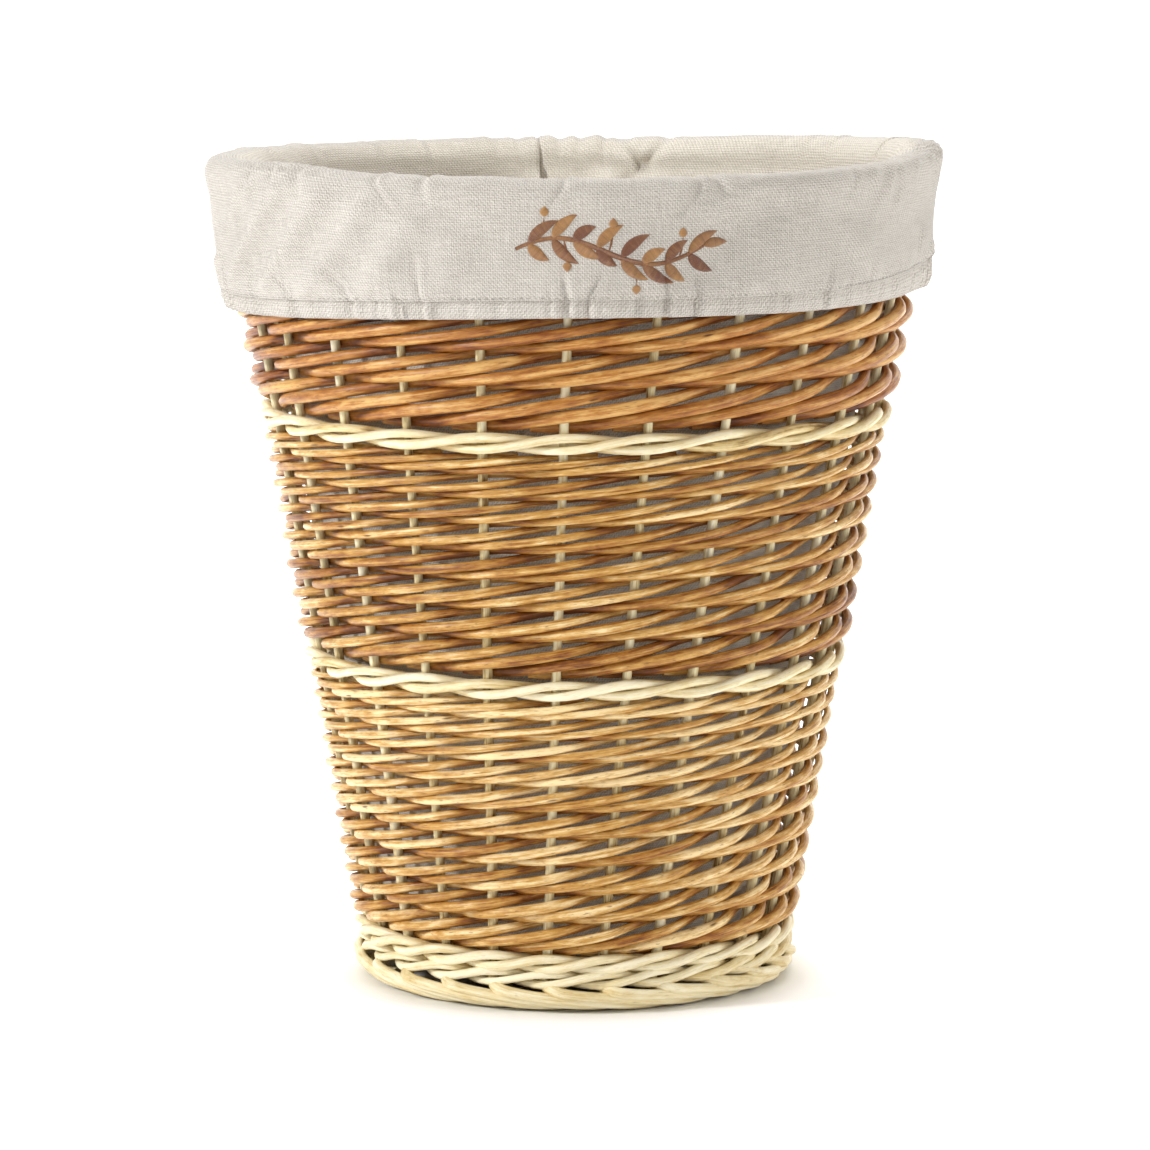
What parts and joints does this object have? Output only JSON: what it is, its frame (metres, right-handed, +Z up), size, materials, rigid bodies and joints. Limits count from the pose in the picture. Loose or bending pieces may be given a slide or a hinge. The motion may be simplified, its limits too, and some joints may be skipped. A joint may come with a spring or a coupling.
{
  "type": "laundry basket",
  "caption": "Round tapered woven willow laundry basket with a lift-out fabric liner whose elastic-hemmed cuff folds over the rim.",
  "frame": {"origin": "centre of the foot border's underside, on the floor", "axes": "+Z up along the basket's axis; -Y is the front, where the embroidery is; +X is to the right seen from the front"},
  "size_m": [0.4418, 0.4422, 0.5],
  "materials": {
    "buff_willow": "satin",
    "brown_willow": "satin",
    "peeled_willow": "satin",
    "stake_willow": "satin",
    "linen": "matt",
    "elastic": "matt",
    "embroidery_thread": "silky"
  },
  "bodies": {
    "basket": {"stake_01": "stake_willow", "stake_02": "stake_willow", "stake_03": "stake_willow", "stake_04": "stake_willow", "stake_05": "stake_willow", "stake_06": "stake_willow", "stake_07": "stake_willow", "stake_08": "stake_willow", "stake_09": "stake_willow", "stake_10": "stake_willow", "stake_11": "stake_willow", "stake_12": "stake_willow", "stake_13": "stake_willow", "stake_14": "stake_willow", "stake_15": "stake_willow", "stake_16": "stake_willow", "stake_17": "stake_willow", "stake_18": "stake_willow", "stake_19": "stake_willow", "stake_20": "stake_willow", "stake_21": "stake_willow", "stake_22": "stake_willow", "stake_23": "stake_willow", "stake_24": "stake_willow", "base_stick_split_1": "stake_willow", "base_stick_split_2": "stake_willow", "base_stick_split_3": "stake_willow", "base_stick_through_1": "stake_willow", "base_stick_through_2": "stake_willow", "base_stick_through_3": "stake_willow", "base_weave": "buff_willow", "foot_border": "peeled_willow", "foot_wale": "peeled_willow", "lower_siding": "buff_willow", "lower_wale": "peeled_willow", "middle_siding": "buff_willow", "upper_wale": "peeled_willow", "upper_siding": "brown_willow", "rim_wale": "peeled_willow", "rim_border": "brown_willow"},
    "liner": {"liner_wall": "linen", "liner_floor": "linen", "floor_seam": "linen", "wall_seam_back": "linen", "wall_seam_right": "linen", "liner_cuff": "linen", "cuff_hem": "linen", "hem_elastic": "elastic", "embroidery": "embroidery_thread"}
  },
  "joints": [
    {"name": "liner_lift", "type": "slide", "parent": "basket", "child": "liner", "axis": [0, 0, 1], "range_m": [0, 0.55], "deforming": ["liner_cuff", "cuff_hem", "hem_elastic", "embroidery"]}
  ]
}
